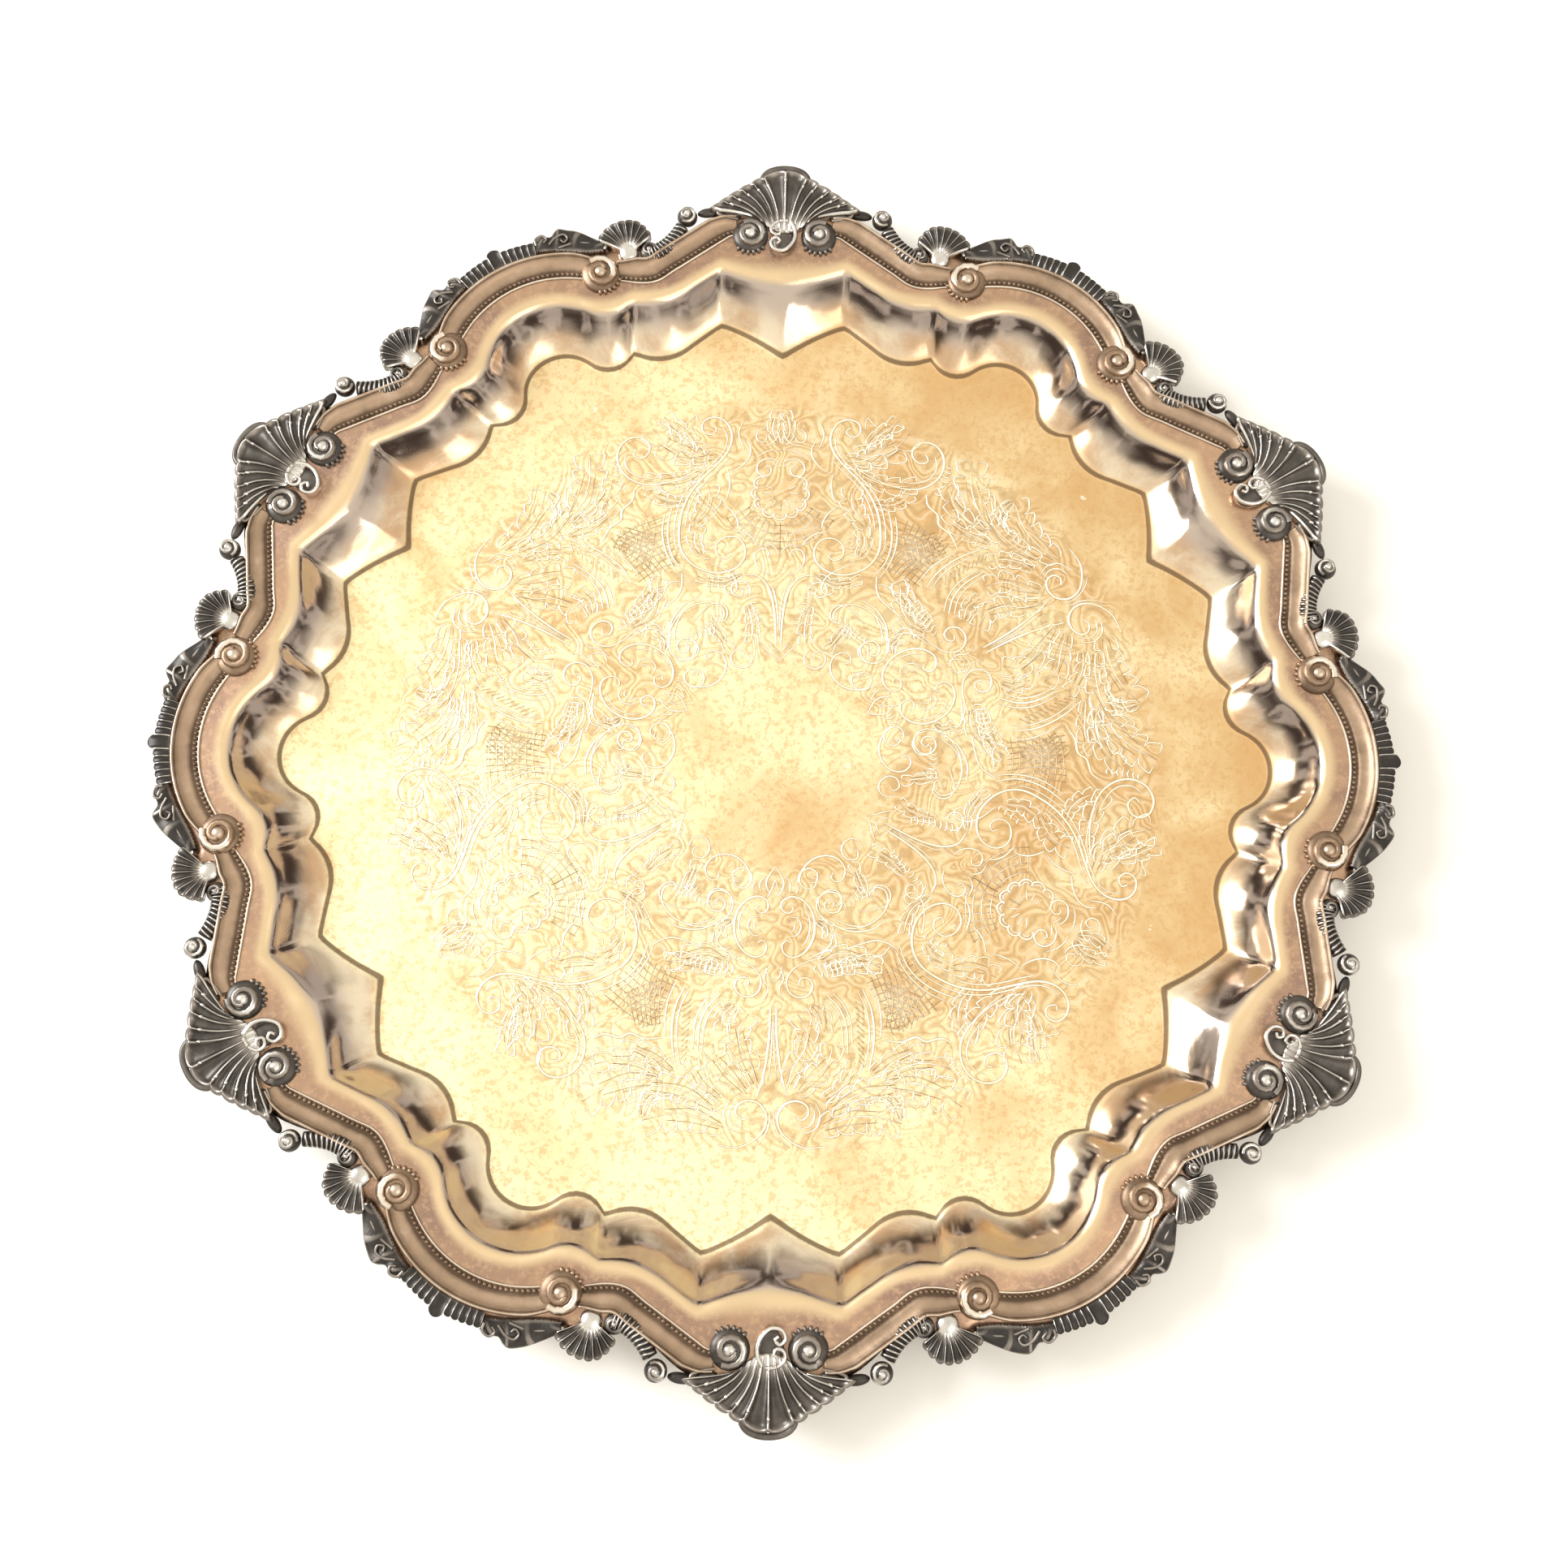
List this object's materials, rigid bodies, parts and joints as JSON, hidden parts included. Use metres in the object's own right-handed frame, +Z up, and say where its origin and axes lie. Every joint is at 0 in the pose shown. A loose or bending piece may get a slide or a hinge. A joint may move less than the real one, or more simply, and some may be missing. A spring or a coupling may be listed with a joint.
{
  "type": "serving salver",
  "caption": "Round shaped serving salver: chased floor, fluted wall and flange, with an applied cast border of shells, scrolls, fans, beaded coves and gadroons.",
  "frame": {"origin": "centre of the floor's underside, on the surface that the salver stands on", "axes": "+Z up out of the dish, +Y through the tip of the first shell, +X through the middle of an arch"},
  "size_m": [0.3684, 0.381, 0.02],
  "materials": {
    "plated_sheet": "tarnished satin plate",
    "cast_ornament": "polished high points over dark patina",
    "cast_moulding": "tarnished polished plate"
  },
  "bodies": {
    "root": {"tray_body": "plated_sheet", "shell_mount_1": "cast_ornament", "shell_mount_2": "cast_ornament", "shell_mount_3": "cast_ornament", "shell_mount_4": "cast_ornament", "shell_mount_5": "cast_ornament", "shell_mount_6": "cast_ornament", "fan_mount_1": "cast_ornament", "fan_mount_2": "cast_ornament", "fan_mount_3": "cast_ornament", "fan_mount_4": "cast_ornament", "fan_mount_5": "cast_ornament", "fan_mount_6": "cast_ornament", "fan_mount_7": "cast_ornament", "fan_mount_8": "cast_ornament", "fan_mount_9": "cast_ornament", "fan_mount_10": "cast_ornament", "fan_mount_11": "cast_ornament", "fan_mount_12": "cast_ornament", "link_moulding_1": "cast_moulding", "link_moulding_2": "cast_moulding", "link_moulding_3": "cast_moulding", "link_moulding_4": "cast_moulding", "link_moulding_5": "cast_moulding", "link_moulding_6": "cast_moulding", "link_moulding_7": "cast_moulding", "link_moulding_8": "cast_moulding", "link_moulding_9": "cast_moulding", "link_moulding_10": "cast_moulding", "link_moulding_11": "cast_moulding", "link_moulding_12": "cast_moulding", "arch_moulding_1": "cast_moulding", "arch_moulding_2": "cast_moulding", "arch_moulding_3": "cast_moulding", "arch_moulding_4": "cast_moulding", "arch_moulding_5": "cast_moulding", "arch_moulding_6": "cast_moulding", "gadroon_edge_1": "cast_ornament", "gadroon_edge_2": "cast_ornament", "gadroon_edge_3": "cast_ornament", "gadroon_edge_4": "cast_ornament", "gadroon_edge_5": "cast_ornament", "gadroon_edge_6": "cast_ornament"}
  },
  "joints": []
}
